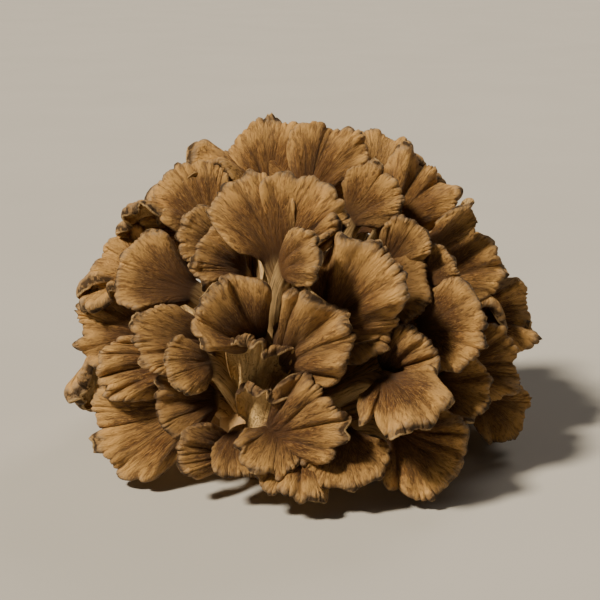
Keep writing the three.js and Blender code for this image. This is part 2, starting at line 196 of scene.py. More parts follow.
# How a frond's section changes along it.
THINNING = 2.6  # how fast a cap thins from the neck
SQUARENESS = 6  # what the section's power gains from the round stalk to the flat rim
SIDE_THINNING = 0.35  # how much thinner a cap is at its sides
EDGE_ROUND = 0.0009  # the least square of the rim's rounding, so that the last ring stays open
STALK_RIDGE, NECK_RIDGE, RIM_RIDGE = 1.2, 0.3, 0.5  # ridges on the stalk, at the neck, and the rim's gain

# Rows of points.
STALK_RINGS, CAP_RINGS, RIM_RINGS = 9, 38, 6
CROWDING = 1.4  # how much a cap's rings crowd towards its rim
BUTT_AROUND, BUTT_DOWN, WALL_DOWN = 192, 72, 16
SOLE_SHARES = (0.93, 0.6, 0.25, 0.02)  # the sole's rings, as shares of the cut's radius

# The butt's lumps and wall.
LUMPS, LUMP_SHARE = 26, 5
POLE = 0.02  # the angle of the first ring from the butt's crown
WALL_BULGE = 1.5 * MM

# Clefts that part a cap into lobes, for the caps that have deep ones: where across the cap,
# the depth, and the width.
CLEFTS = {
    "right_hero": [(0.62, 0.16, 0.1)],
    "split": [(0.55, 0.34, 0.1)],
    "left_skirt": [(0.1, 0.1, 0.04)],
    "right_mid": [(0.12, 0.1, 0.06)],
    "front_hero": [(-0.25, 0.1, 0.07), (0.5, 0.16, 0.09)],
    "skirt_right": [(0.6, 0.16, 0.08)],
    "right_hero_back": [(0.55, 0.14, 0.09)],
}

# The studio.
FLOOR_HALF = 9.0
AIM_RISE = 31 * MM  # the middle of the view, above the dome's centre
SENSOR_WIDTH = 36
KEY_PLACE, KEY_SOFTNESS, KEY_COLOUR = (-54, 48), 9 * DEG, (1.0, 0.90, 0.72)
RIM_PLACE, RIM_SOFTNESS, RIM_COLOUR = (150, 40), 20 * DEG, (1.0, 0.92, 0.82)
RIM_SHARE = 0.12  # the rim light's strength as a share of the key's
ROOM_COLOUR, ROOM_STRENGTH = (1.0, 0.93, 0.82, 1), 0.06

# ---- Sizes and colours ------------------------------------------------------------------


class FrondSettings(bpy.types.PropertyGroup):
    """The sizes and colours of the fronds."""

    radius: FloatProperty(
        name="Dome radius", description="Distance of the caps' tips from the dome's centre",
        default=DOME_RADIUS, min=0.01, unit="LENGTH")
    wave: FloatProperty(
        name="Waves", description="How steeply the big waves of a cap rise and fall at its rim",
        default=28 * DEG, subtype="ANGLE")
    frill: FloatProperty(
        name="Frill", description="How steeply the small waves right at the rim rise and fall",
        default=17 * DEG, subtype="ANGLE")
    crimp: FloatProperty(
        name="Crimp", description="How steeply the fine crimps of the rim rise and fall",
        default=26 * DEG, subtype="ANGLE")
    rim_roll: FloatProperty(
        name="Rim roll", description="How far the rim rolls down towards the underside",
        default=112 * DEG, subtype="ANGLE")
    ridge: FloatProperty(
        name="Ridge height", description="Height of the ridges that fan out over a cap",
        default=0.13 * MM, min=0, unit="LENGTH")
    pillow: FloatProperty(
        name="Rim swelling", description="How far the lobes of the rim swell up",
        default=0.8 * MM, min=0, unit="LENGTH")
    rim_thickness: FloatProperty(
        name="Rim thickness", description="Thickness of a cap just inside its rim",
        default=1.35 * MM, min=0, unit="LENGTH")
    across: IntProperty(
        name="Across", description="Facets across a cap", default=128, min=8)
    cap_colour: FloatVectorProperty(
        name="Cap", description="Brown of a cap's upper face", subtype="COLOR", size=3,
        default=(0.27, 0.119, 0.021), min=0, max=1)
    under_colour: FloatVectorProperty(
        name="Underside", description="Cream of the undersides and stalks", subtype="COLOR", size=3,
        default=(0.70, 0.46, 0.19), min=0, max=1)


class ButtSettings(bpy.types.PropertyGroup):
    """The sizes and colours of the butt."""

    knobble: FloatProperty(
        name="Knobbles", description="Height of the butt's lumps",
        default=1.6 * MM, min=0, unit="LENGTH")
    flesh_colour: FloatVectorProperty(
        name="Flesh", description="Cream of the butt's flesh", subtype="COLOR", size=3,
        default=(0.55, 0.35, 0.16), min=0, max=1)


class StageSettings(bpy.types.PropertyGroup):
    """The stage: floor, lights and camera."""

    elevation: FloatProperty(
        name="Elevation", description="How far above the level the camera stands",
        default=15 * DEG, subtype="ANGLE")
    distance: FloatProperty(
        name="Distance", description="From the camera to the middle of the mushroom",
        default=0.65, min=0.1, unit="LENGTH")
    lens: FloatProperty(
        name="Lens", description="Focal length in millimetres", default=85, min=10, unit="CAMERA")
    key: FloatProperty(
        name="Key light", description="Strength of the main light", default=5.8, min=0)
    floor_colour: FloatVectorProperty(
        name="Floor", description="Colour of the plain floor", subtype="COLOR", size=3,
        default=(0.50, 0.475, 0.44), min=0, max=1)


# ---- Geometry ---------------------------------------------------------------------------


def unit(v):
    """Each vector divided by its length."""
    return v / np.linalg.norm(v, axis=-1, keepdims=True)


def place(bearing, rise, reach, radius):
    """A point at a bearing, a rise and a share of the radius from the dome's centre."""
    b, r = bearing * DEG, rise * DEG
    out = np.array([math.sin(b) * math.cos(r), -math.cos(b) * math.cos(r), math.sin(r)])
    return DOME_CENTRE + reach * radius * out


def butt_skin(direction):
    """Distance from the butt's centre to its skin.

    It is a core with five shallow flutes, plus for each limb its reach beyond the core times a
    bell curve of the angle from the limb's axis.
    """
    around = np.arctan2(direction[..., 1], direction[..., 0])
    skin = BUTT_RADIUS * (1 + 0.05 * np.sin(5 * around))
    for towards, reach in LIMBS:
        axis = unit(place(*towards, DOME_RADIUS) - BUTT_CENTRE)
        off = np.arccos(np.clip(direction @ axis, -1, 1)) / LIMB_WIDTH
        skin = skin + (reach * MM - BUTT_RADIUS) * np.exp(-off * off)
    return skin


def waves(where, low, high, rng):
    """A sum of sines along where (-1 to 1): one for each whole number of waves from low to high."""
    total = np.zeros_like(where)
    counts = np.arange(low, high + 1)
    for count in counts:
        total = total + rng.normal() * np.sin(math.pi * count * where + rng.uniform(0, 2 * math.pi))
    return total / math.sqrt(len(counts) / 2)


def smoothstep(low, high, x):
    """0 below low and 1 above high, and between them 3t^2 - 2t^3 of the share t."""
    t = np.clip((x - low) / (high - low), 0, 1)
    return t * t * (3 - 2 * t)


def cap_axes(neck, tip, roll, face_bearing):
    """A cap's own axes: along it, up out of its brown face, and across it."""
    along = unit(tip - neck)
    outward = unit((neck + tip) / 2 - DOME_CENTRE)
    b = face_bearing * DEG
    up = np.array([math.sin(b) * FACE_OUT, -math.cos(b) * FACE_OUT, FACE_UP]) + OUTWARD * outward
    up = unit(up - (up @ along) * along)
    across = np.cross(along, up)
    up = up * math.cos(roll * DEG) + across * math.sin(roll * DEG)
    return along, up, np.cross(along, up)


def rest_on_floor(points):
    """Lets drooping points flatten on the floor.

    Below a soft height, z falls off exponentially to the rest height.
    """
    high = points[..., 2] - REST_HEIGHT
    low = REST_HEIGHT + REST_SOFTNESS * np.exp(np.minimum(high, REST_SOFTNESS) / REST_SOFTNESS - 1)
    points[..., 2] = np.where(high < REST_SOFTNESS, low, points[..., 2])
    return points


def scallops(side, fewest, most, rng):
    """Rounded lobes along the rim with a crease between each two.

    They are the size of a sine, its phase made uneven and its height varied by slow waves. The
    small term under the root softens the creases.
    """
    uneven = 0.7 * waves(side, 1, 6, rng)
    count = rng.uniform(fewest, most)
    phase = rng.uniform(0, 1)
    lobes = np.sqrt(0.03 + np.sin(math.pi * (count * side + phase + uneven)) ** 2)
    return lobes * (0.75 + 0.35 * waves(side, 1, 5, rng))


def cap_outline(side, name, rng):
    """How long each ray is, as a share of the middle one.

    It falls to the side ray's share as the cosine of a power of the place across, and each
    cleft takes a bell curve out of it. Up to two shallow clefts are added at random.
    """
    outline = SIDE_REACH + (1 - SIDE_REACH) * np.cos(math.pi / 2 * np.abs(side) ** ROUNDNESS)
    clefts = list(CLEFTS.get(name, []))
    for _ in range(rng.integers(0, 3)):
        clefts.append((rng.uniform(-0.8, 0.8), rng.uniform(0.05, 0.1), rng.uniform(0.035, 0.07)))
    for where, depth, width in clefts:
        outline = outline * (1 - depth * np.exp(-(((side - where) / width) ** 2)))
    return outline


def cap_surface(row, stations, side, settings, rng):
    """The middle surface of a cap, a grid of stations by side.

    Each ray leaves the neck along the frond and turns out to its own angle. Its slope is the
    sum of the curl's steady fall, the fold's rise at the sides, big waves that grow towards
    the rim and the sides, dimples half way out, a frill and fine crimps right at the rim, and
    the rim's roll. The points are the running sum of the ray's steps. Along a ray, s runs from
    0 at the neck to 1 at the rim, and across the cap, a runs from -1 to 1.
    """
    name, neck_place, tip_place, spread, curl, fold, roll, face_bearing = row
    neck = place(*neck_place, settings.radius)
    tip = place(*tip_place, settings.radius)
    along, up, across = cap_axes(neck, tip, roll, face_bearing)
    length = np.linalg.norm(tip - neck) * (1 + (curl * DEG) ** 2 / ARC_DIVISOR)
    s = ((stations[1:] + stations[:-1]) / 2)[:, None]
    step = np.diff(stations)[:, None]
    a = side[None, :]
    broad = min(1.0, spread / WIDE_SPREAD)
    calm = FUNNEL_CALM if roll > FUNNEL_ROLL else 1
    turn = a * spread * SPREAD * DEG * (1 + FLARE) * s / (s + FLARE)
    turn = turn + RAY_DRIFT * s * waves(a, 1, 4, rng) + rng.normal() * SWAY * (s - 0.5)
    lobe = scallops(a, 4, 7, rng) - 0.5
    dimple = waves(a + 0.4 * s, 2, 5, rng) * np.sin(7 * s + waves(a, 1, 3, rng))
    big = waves(a + 0.12 * s, 2, 5, rng) * broad * rng.uniform(0.5, 1.1) * calm
    big = big * (MIDDLE_WAVE + SIDE_WAVE * a * a)
    small = (0.6 * waves(a + 0.03 * s, 5, 10, rng) + 1.3 * lobe) * broad * calm
    small = small * np.clip(0.8 + 0.5 * waves(a, 1, 4, rng), 0.15, 1.7)
    rolled = settings.rim_roll * (0.75 + 0.35 * waves(a, 1, 5, rng))
    slope = curl * DEG * (0.5 - s) + fold * DEG * a * a * (1 - s) ** 2
    slope = slope + settings.wave * s**WAVE_LATENESS * big + settings.frill * s**FRILL_LATENESS * small
    slope = slope + DIMPLE_SLOPE * dimple * s * (1 - s)
    slope = slope - rolled * smoothstep(ROLL_START, 1.0, s)
    outline = cap_outline(side, name, rng)
    crimp = scallops(a, 10, 15, rng) - 0.5
    slope = slope + settings.crimp * s**CRIMP_LATENESS * crimp * calm
    flat = np.cos(slope)[..., None]
    ray = flat * (np.cos(turn)[..., None] * along + np.sin(turn)[..., None] * across)
    ray = ray + np.sin(slope)[..., None] * up
    outline = outline * (1 + RIM_SCALLOP * lobe[0] + RIM_CRIMP * crimp[0])
    reach = length * outline[None, :] * step
    start = neck + across * (NECK_HALF_WIDTH * side)[:, None]
    walked = np.cumsum(ray * reach[..., None], axis=0)
    points = start + np.concatenate([np.zeros((1,) + ray.shape[1:]), walked])
    return rest_on_floor(points), lobe[0], (neck, along, up, across, curl)


def stalk_surface(stations, side, neck, along, up, across, curl):
    """The middle strip of a stalk.

    It spans the width across a cubic curve that leaves the butt straight out of its skin and
    meets the neck in the cap's own first direction.
    """
    lean = unit(neck - BUTT_CENTRE)
    foot = BUTT_CENTRE + lean * (butt_skin(lean) - STALK_DEPTH)
    span = np.linalg.norm(neck - foot) * STALK_REACH
    bend = curl * DEG / 2
    leave = math.cos(bend) * along + math.sin(bend) * up
    u = (stations + 1)[:, None]
    a, b, c, d = foot, foot + lean * span, neck - leave * span, neck
    centre = (1 - u) ** 3 * a + 3 * (1 - u) ** 2 * u * b + 3 * (1 - u) * u * u * c + u**3 * d
    ahead = unit((1 - u) ** 2 * (b - a) + 2 * (1 - u) * u * (c - b) + u * u * (d - c))
    width = FOOT_HALF_WIDTH + (NECK_HALF_WIDTH - FOOT_HALF_WIDTH) * u
    sideways = unit(across - (ahead @ across)[:, None] * ahead)
    return centre[:, None, :] + sideways[:, None, :] * (width * side[None, :])[..., None]


def ridge_pattern(stations, side, rng):
    """Ridges that run out along the rays.

    They are the sum of coarse, middle and fine waves across the cap, and the fine ones come in
    towards the rim.
    """
    s = stations[:, None]
    a = side[None, :]
    drift = 0.02 * np.sin(3 * s + rng.uniform(0, 6))
    coarse = waves(a + drift, 5, 11, rng)
    middle = waves(a - drift, 12, 22, rng)
    fine = waves(a + 2 * drift, 23, 36, rng)
    late = smoothstep(-0.1, 0.9, s)
    return 0.35 * coarse + (0.3 + 0.15 * late) * middle + 0.35 * late * fine


def frond_rings(row, settings, seed):
    """A frond as a stack of closed rings, foot to rim.

    An upper and an under skin stand off the middle surface along its normal by half the
    thickness. The section is a superellipse, round in the stalk and flat in the cap. Ridges
    and the rim's swollen lobes are added to the upper skin, and half of the ridges' height is
    taken from the under skin.
    """
    rng = np.random.default_rng(seed)
    t = np.linspace(-1, 1, settings.across + 1)
    side = 0.5 * t + 0.5 * np.sin(t * math.pi / 2)
    stalk_stations = np.linspace(-1, 0, STALK_RINGS + 1)[:-1]
    rim = RIM_START + (1 - RIM_START) * np.sin(np.linspace(0, math.pi / 2, RIM_RINGS + 1))[1:]
    cap_stations = np.concatenate([RIM_START * (1 - (1 - np.linspace(0, 1, CAP_RINGS)) ** CROWDING), rim])
    cap, lobe, axes = cap_surface(row, cap_stations, side, settings, rng)
    middle = np.concatenate([stalk_surface(stalk_stations, side, *axes), cap])
    stations = np.concatenate([stalk_stations, cap_stations])
    s = np.clip(stations, 0, 1)[:, None]
    normal = unit(np.cross(np.gradient(middle, axis=1), np.gradient(middle, axis=0)))
    thin = settings.rim_thickness / 2
    centre = np.where(
        stations[:, None] < 0,
        NECK_HALF_THICKNESS + (FOOT_HALF_THICKNESS - NECK_HALF_THICKNESS) * -stations[:, None],
        thin + (NECK_HALF_THICKNESS - thin) * (1 - s) ** THINNING,
    )
    round_off = np.sqrt(np.clip(1 - ((s - RIM_START) / (1 - RIM_START)) ** 2, EDGE_ROUND, 1))
    centre = centre * np.where(s > RIM_START, round_off, 1)
    power = 2 + SQUARENESS * s
    section = (1 - np.abs(side)[None, :] ** power) ** (1 / power)
    half = centre * section * (1 - SIDE_THINNING * s * side[None, :] ** 2)
    ridges = ridge_pattern(stations, side, rng)
    ridge_height = np.where(stations[:, None] < 0, STALK_RIDGE, NECK_RIDGE + RIM_RIDGE * s)
    swell = settings.ridge * ridges * section * np.where(s > RIM_START, round_off, 1) * ridge_height
    pillow = settings.pillow * (0.5 + lobe) * np.exp(-(((s - PILLOW_PLACE) / PILLOW_WIDTH) ** 2)) * section
    upper = middle + normal * (half + swell + pillow)[..., None]
    lower = middle - normal * (half - 0.5 * swell)[..., None]
    rings = np.concatenate([upper, lower[:, -2:0:-1]], axis=1)

    def around(values_up, values_down):
        """Joins the upper skin's values and the under skin's into closed rings."""
        return np.concatenate([values_up, values_down[:, -2:0:-1]], axis=1)

    across_uv = np.broadcast_to((side / 2 + 0.5)[None, :], ridges.shape)
    along_uv = np.broadcast_to(((stations + 1) / 2)[:, None], ridges.shape)
    face = np.zeros_like(ridges)
    face[:, 0] = face[:, -1] = 0.5
    return {
        "rings": rings,
        "uv": np.stack([around(across_uv, across_uv), around(along_uv, along_uv)], axis=-1),
        "attributes": {
            "under": around(face, np.ones_like(face)),
            "ridge": around(ridges, ridges * 0.5),
            "tone": np.full(rings.shape[:2], rng.uniform(-1, 1)),
        },
    }


def ring_faces(count, size):
    """The quads and triangles over a stack of equal rings.

    Each end is closed by a strip of quads between its two halves, with a triangle at both tips.
    """
    i = np.arange(count - 1)[:, None] * size
    j = np.arange(size)[None, :]
    k = (j + 1) % size
    skin = np.stack([i + j, i + k, i + size + k, i + size + j], axis=-1).reshape(-1, 4)
    a = np.arange(1, size // 2 - 1)
    strip = np.stack([a, (size - a) % size, size - a - 1, a + 1], axis=-1)
    last = (count - 1) * size
    quads = np.concatenate([skin, strip, last + strip[:, ::-1]])
    h = size // 2
    tips = np.array([[0, size - 1, 1], [h - 1, h + 1, h], [last, last + 1, last + size - 1],
                     [last + h - 1, last + h, last + h + 1]])
    return quads, tips


def mesh_from_stacks(name, stacks):
    """A mesh of closed skins, one over each stack of rings, with the stacks' UV map and attributes."""
    quads, tips, first = [], [], 0
    for stack in stacks:
        count, size = stack["rings"].shape[:2]
        four, three = ring_faces(count, size)
        quads.append(four + first)
        tips.append(three + first)
        first += count * size
    quads, tips = np.concatenate(quads), np.concatenate(tips)
    points = np.concatenate([stack["rings"].reshape(-1, 3) for stack in stacks])
    uv = np.concatenate([stack["uv"].reshape(-1, 2) for stack in stacks])
    loops = np.concatenate([quads.ravel(), tips.ravel()]).astype(np.int32)
    starts = np.concatenate([np.arange(len(quads)) * 4, quads.size + np.arange(len(tips)) * 3])
    starts = starts.astype(np.int32)
    mesh = bpy.data.meshes.new(name)
    mesh.vertices.add(len(points))
    mesh.vertices.foreach_set("co", points.astype(np.float32).ravel())
    mesh.loops.add(len(loops))
    mesh.loops.foreach_set("vertex_index", loops)
    mesh.polygons.add(len(starts))
    mesh.polygons.foreach_set("loop_start", starts)
    mesh.polygons.foreach_set("use_smooth", np.ones(len(starts), bool))
    layer = mesh.uv_layers.new(name="rays")
    layer.uv.foreach_set("vector", uv[loops].astype(np.float32).ravel())
    for key in stacks[0]["attributes"]:
        values = np.concatenate([stack["attributes"][key].ravel() for stack in stacks])
        mesh.attributes.new(key, "FLOAT", "POINT").data.foreach_set("value", values.astype(np.float32))
    mesh.update(calc_edges=True)
    if mesh.validate():
        raise RuntimeError(f"{name} isn't a clean mesh")
    return mesh


def add_piece(name, mesh, material, node):
    """Puts a mesh into the scene in place of a CAD node."""
    piece = bpy.data.objects.new(name, mesh)
    bpy.context.scene.collection.objects.link(piece)
    mesh.materials.append(material)
    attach(piece, "root")
    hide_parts(node)


def add_frond(row, settings, material, seed):
    """Adds a frond, with the second cap where its stalk forks."""
    name, neck = row[:2]
    rows = [row] + [(name, neck, *fork[1:]) for fork in FORKS if fork[0] == name]
    stacks = [frond_rings(cap, settings, (seed, i)) for i, cap in enumerate(rows)]
    add_piece(name + "_frond", mesh_from_stacks(name + "_flesh", stacks), material, name)


# ---- Materials --------------------------------------------------------------------------


# Sizes of the patterns. A pattern that follows the rays has a scale across them and one along
# them, and the others have cycles in a metre.
FIBRIL, STREAK, HAIR, FIBRE = (104.0, 24.0), (36.0, 13.0), (190.0, 34.0), (15.0, 5.0)
WARP_SCALE, BLOTCH_SCALE, DRY_SCALE, SPECK_SCALE, PORE_SCALE = 110.0, 48.0, 260.0, 900.0, 1700.0
PATCH_SCALE, GRAIN_SCALE = 55.0, 420.0
TONE_SHIFT = 40.0  # how far apart two fronds' patterns are taken
SKIN_RELIEF, FLESH_RELIEF = 0.0026, 0.0016


class Nodes:
    """Short names for adding and joining a material's nodes."""

    def __init__(self, name):
        self.material = bpy.data.materials.new(name)
        self.material.use_nodes = True
        self.tree = self.material.node_tree
        self.shader = self.tree.nodes["Principled BSDF"]

    def add(self, kind, inputs=None, **settings):
        """Adds a node, with its settings and what goes into its inputs."""
        node = self.tree.nodes.new(kind)
        for key, value in settings.items():
            setattr(node, key, value)
        for key, value in (inputs or {}).items():
            self.feed(node.inputs[key], value)
        return node

    def feed(self, socket, value):
        """Links a socket to an input, or sets the input to a number or colour."""
        if isinstance(value, bpy.types.NodeSocket):
            self.tree.links.new(value, socket)
        else:
            socket.default_value = value

    def value(self, name):
        """One of the mesh's attributes."""
        return self.add("ShaderNodeAttribute", attribute_name=name).outputs["Fac"]

    def math(self, operation, a, b=0.0):
        """One operation on two numbers."""
        return self.add("ShaderNodeMath", {0: a, 1: b}, operation=operation).outputs[0]

    def band(self, x, low, high, to_low=0.0, to_high=1.0):
        """Runs smoothly from to_low to to_high while x runs from low to high."""
        node = self.add("ShaderNodeMapRange", {0: x, 1: low, 2: high, 3: to_low, 4: to_high},
                        interpolation_type="SMOOTHSTEP")
        return node.outputs[0]

    def mix(self, factor, a, b):
        """Goes from colour a to colour b by a factor."""
        node = self.add("ShaderNodeMix", data_type="RGBA")
        self.feed(node.inputs[0], factor)
        self.feed(node.inputs[6], a)
        self.feed(node.inputs[7], b)
        return node.outputs[2]

    def noise(self, vector, scale, detail=4.0, roughness=0.55):
        """Fractal noise, about 0.5 on average."""
        node = self.add("ShaderNodeTexNoise", {"Vector": vector, "Scale": scale, "Detail": detail,
                                               "Roughness": roughness})
        return node.outputs["Fac"]

    def stretched(self, across, along, offset, across_scale, along_scale):
        """A vector that stretches a pattern along the rays, moved by an offset of the frond's own."""
        x = self.math("MULTIPLY", across, across_scale)
        y = self.math("MULTIPLY", along, along_scale)
        return self.add("ShaderNodeCombineXYZ", {0: x, 1: y, 2: offset}).outputs[0]


def shade(colour, factor):
    """A colour times a factor, with full opacity."""
    return (colour[0] * factor, colour[1] * factor, colour[2] * factor, 1.0)


def frond_skin(settings):
    """The skin of a frond.

    Brown caps have fine fibrils that fan out from the neck, painted shade in the furrows and a
    painted highlight on the ridges, a painted highlight inside the rim, then a greyer band, a rim
    that has dried dark in spots, and a thin pale edge. Painted shade darkens the necks and the
    skin deep between the fronds. The underside is cream with pores, and the stalk is cream with
    coarse tan fibres and painted shade in its furrows.
    """
    n = Nodes("maitake_skin")
    cap = tuple(settings.cap_colour)
    cream = tuple(settings.under_colour)
    uv = n.add("ShaderNodeUVMap", uv_map="rays").outputs[0]
    split = n.add("ShaderNodeSeparateXYZ", {0: uv})
    across, along = split.outputs[0], split.outputs[1]
    under, ridge, tone = n.value("under"), n.value("ridge"), n.value("tone")
    spot = n.add("ShaderNodeTexCoord").outputs["Object"]
    offset = n.math("MULTIPLY", tone, TONE_SHIFT)
    warp = n.noise(spot, WARP_SCALE, 3.0)
    warped = n.math("ADD", across, n.math("MULTIPLY", warp, 0.05))

    fibril = n.noise(n.stretched(warped, along, offset, *FIBRIL), 1.0, 6.0, 0.7)
    streak = n.noise(n.stretched(warped, along, offset, *STREAK), 1.0, 4.0, 0.6)
    hair = n.noise(n.stretched(warped, along, offset, *HAIR), 1.0, 3.0, 0.6)
    fibre = n.noise(n.stretched(warped, along, offset, *FIBRE), 1.0, 5.0, 0.65)
    blotch = n.noise(spot, BLOTCH_SCALE, 4.0, 0.55)
    dry = n.noise(spot, DRY_SCALE, 3.0)
    speck = n.noise(spot, SPECK_SCALE, 2.0, 0.5)

    # dark and light serve both the skin's own darker and paler mottling and, below, painted shade in the
    # furrows and painted highlights on the ridges and inside the rim.
    dark = (cap[0] * 0.26, cap[1] * 0.2, cap[2] * 0.14, 1.0)
    warm = (cap[0] * 1.15, cap[1] * 1.1, cap[2] * 1.0, 1.0)
    light = (cap[0] * 2.3, cap[1] * 2.9, cap[2] * 5.0, 1.0)
    grey = (cap[0] * 1.1, cap[1] * 1.75, cap[2] * 6.0, 1.0)
    pale = (cream[0] * 1.1, cream[1] * 1.12, cream[2] * 1.2, 1.0)
    throat_shade = (cap[0] * 0.5, cap[1] * 0.42, cap[2] * 0.3, 1.0)
    crevice_shade = (cap[0] * 0.22, cap[1] * 0.16, cap[2] * 0.1, 1.0)
    tan = shade((cream[0], cream[1] * 0.8, cream[2] * 0.6), 0.42)
    stain = shade((cream[0], cream[1] * 0.86, cream[2] * 0.7), 0.6)

    lines = n.math("ADD", n.math("MULTIPLY", fibril, 0.7), n.math("MULTIPLY", streak, 0.3))
    skin = n.mix(n.band(lines, 0.4, 0.58), n.mix(0.15, dark, warm), warm)
    skin = n.mix(n.band(blotch, 0.52, 0.36, 0.0, 0.65), skin, dark)
    bright = n.math("ADD", blotch, n.math("MULTIPLY", lines, 0.5))
    skin = n.mix(n.band(bright, 0.72, 0.9, 0.0, 0.8), skin, light)
    skin = n.mix(n.band(hair, 0.52, 0.62, 0.0, 0.6), skin, light)
    skin = n.mix(n.band(hair, 0.49, 0.38, 0.0, 0.8), skin, dark)
    # Painted shade darkens the furrows between the ridges, and a painted highlight lightens their crests,
    # as if raking light fell on them.
    skin = n.mix(n.band(ridge, -0.2, -1.5, 0.0, 0.35), skin, dark)
    skin = n.mix(n.band(ridge, 0.2, 1.7, 0.0, 0.25), skin, light)
    skin = n.mix(n.band(tone, -1.0, 1.0, 0.0, 0.45), skin, shade(cap, 0.5))
    # Painted shade: towards the neck the skin is painted a deep warm brown, for the necks lie in shadow
    # deep in the cluster.
    skin = n.mix(n.band(along, 0.82, 0.55, 0.0, 0.75), skin, throat_shade)
    # A painted highlight lies inside the rim, where the rolled rim catches the light; then comes a greyer
    # band, and the rim has dried dark in spots.
    rim_highlight = n.math("MULTIPLY", n.band(along, 0.78, 0.92), n.band(streak, 0.36, 0.56, 0.2, 0.9))
    skin = n.mix(rim_highlight, skin, light)
    band = n.math("MULTIPLY", n.band(along, 0.92, 0.955), n.band(fibril, 0.42, 0.6, 0.15, 0.8))
    skin = n.mix(band, skin, grey)
    dried = n.math("MULTIPLY", n.band(along, 0.948, 0.97), n.band(dry, 0.42, 0.54, 0.3, 0.95))
    skin = n.mix(dried, skin, shade(cap, 0.16))
    edge = n.band(n.math("ADD", along, n.math("MULTIPLY", fibril, 0.012)), 0.994, 1.0)
    skin = n.mix(n.math("MULTIPLY", edge, 0.45), skin, pale)

    pores = n.add("ShaderNodeTexVoronoi", {"Vector": spot, "Scale": PORE_SCALE}).outputs["Distance"]
    below = n.mix(n.band(blotch, 0.35, 0.7), (*cream, 1.0), shade(cream, 0.72))
    below = n.mix(n.band(streak, 0.4, 0.7, 0.0, 0.4), below, stain)
    below = n.mix(n.band(along, 0.94, 1.0, 0.0, 0.5), below, (*cap, 1.0))

    # Coarse fibres run down the stalks, tan in the furrows between them.
    rind = (cream[0] * 1.15, cream[1] * 1.15, cream[2] * 1.2, 1.0)
    stalk = n.mix(n.band(fibre, 0.46, 0.66), rind, tan)
    # Painted shade darkens the furrows between the stalk's ridges towards brown.
    stalk = n.mix(n.band(ridge, 0.0, -1.6, 0.0, 0.45), stalk, shade(cap, 0.7))

    # Painted shade: deep between the fronds, near the dome's centre, the skin is painted dark where shade
    # falls.
    from_centre = n.add("ShaderNodeVectorMath", {0: spot, 1: tuple(DOME_CENTRE)}, operation="DISTANCE")
    reach = n.math("DIVIDE", from_centre.outputs["Value"], DOME_RADIUS)
    skin = n.mix(n.band(reach, 0.52, 0.94, 0.88, 0.0), skin, crevice_shade)
    colour = n.mix(n.band(under, 0.35, 0.65), skin, below)
    stalkward = n.band(along, n.math("ADD", 0.54, n.math("MULTIPLY", under, 0.06)), 0.45)
    colour = n.mix(stalkward, colour, stalk)
    n.feed(n.shader.inputs["Base Color"], colour)

    n.feed(n.shader.inputs["Roughness"], n.band(hair, 0.3, 0.7, 0.62, 0.84))
    n.shader.inputs["Specular IOR Level"].default_value = 0.35
    n.shader.inputs["Sheen Weight"].default_value = 0.03
    n.shader.inputs["Sheen Roughness"].default_value = 0.5

    relief = n.math("ADD", n.math("MULTIPLY", fibril, 0.7), n.math("MULTIPLY", streak, 0.7))
    relief = n.math("ADD", relief, n.math("MULTIPLY", hair, 0.25))
    relief = n.math("ADD", relief, n.math("MULTIPLY", speck, 0.2))
    pitted = n.band(pores, 0.0, 0.5, 0.0, 0.6)
    height = n.add("ShaderNodeMix", data_type="FLOAT")
    n.feed(height.inputs[0], n.band(under, 0.4, 0.6))
    n.feed(height.inputs[2], relief)
    n.feed(height.inputs[3], pitted)
    stringy = n.math("MULTIPLY", n.math("MULTIPLY", fibre, -1.2), stalkward)
    raised = n.math("ADD", height.outputs[0], stringy)
    bump = n.add("ShaderNodeBump", {"Height": raised, "Distance": SKIN_RELIEF, "Strength": 1.0})
    n.feed(n.shader.inputs["Normal"], bump.outputs[0])
    return n.material


def butt_flesh(settings):
    """Cream flesh, tan where it has dried, with torn fibres and small pits."""
    n = Nodes("maitake_flesh")
    flesh = tuple(settings.flesh_colour)
    spot = n.add("ShaderNodeTexCoord").outputs["Object"]
    patch = n.noise(spot, PATCH_SCALE, 5.0, 0.6)
    grain = n.noise(spot, GRAIN_SCALE, 4.0, 0.65)
    tan = shade((flesh[0], flesh[1] * 0.8, flesh[2] * 0.6), 0.5)
    colour = n.mix(n.band(patch, 0.4, 0.68), (*flesh, 1.0), tan)
    colour = n.mix(n.band(grain, 0.5, 0.75, 0.0, 0.4), colour, shade(flesh, 0.45))
    n.feed(n.shader.inputs["Base Color"], colour)
    n.shader.inputs["Roughness"].default_value = 0.85
    n.shader.inputs["Specular IOR Level"].default_value = 0.25
    height = n.math("ADD", n.math("MULTIPLY", patch, 0.6), n.math("MULTIPLY", grain, 0.4))
    bump = n.add("ShaderNodeBump", {"Height": height, "Distance": FLESH_RELIEF, "Strength": 0.9})
    n.feed(n.shader.inputs["Normal"], bump.outputs[0])
    return n.material


def floor_paint(settings):
    """Plain matt paint with a very slight cloudiness."""
    n = Nodes("floor_paint")
    colour = tuple(settings.floor_colour)
    spot = n.add("ShaderNodeTexCoord").outputs["Object"]
    cloudy = n.noise(spot, 6.0, 3.0)
    paint = n.mix(n.band(cloudy, 0.3, 0.7), (*colour, 1.0), shade(colour, 0.97))
    n.feed(n.shader.inputs["Base Color"], paint)
    n.shader.inputs["Roughness"].default_value = 0.9
    n.shader.inputs["Specular IOR Level"].default_value = 0.1
    return n.material


# ---- Operators --------------------------------------------------------------------------


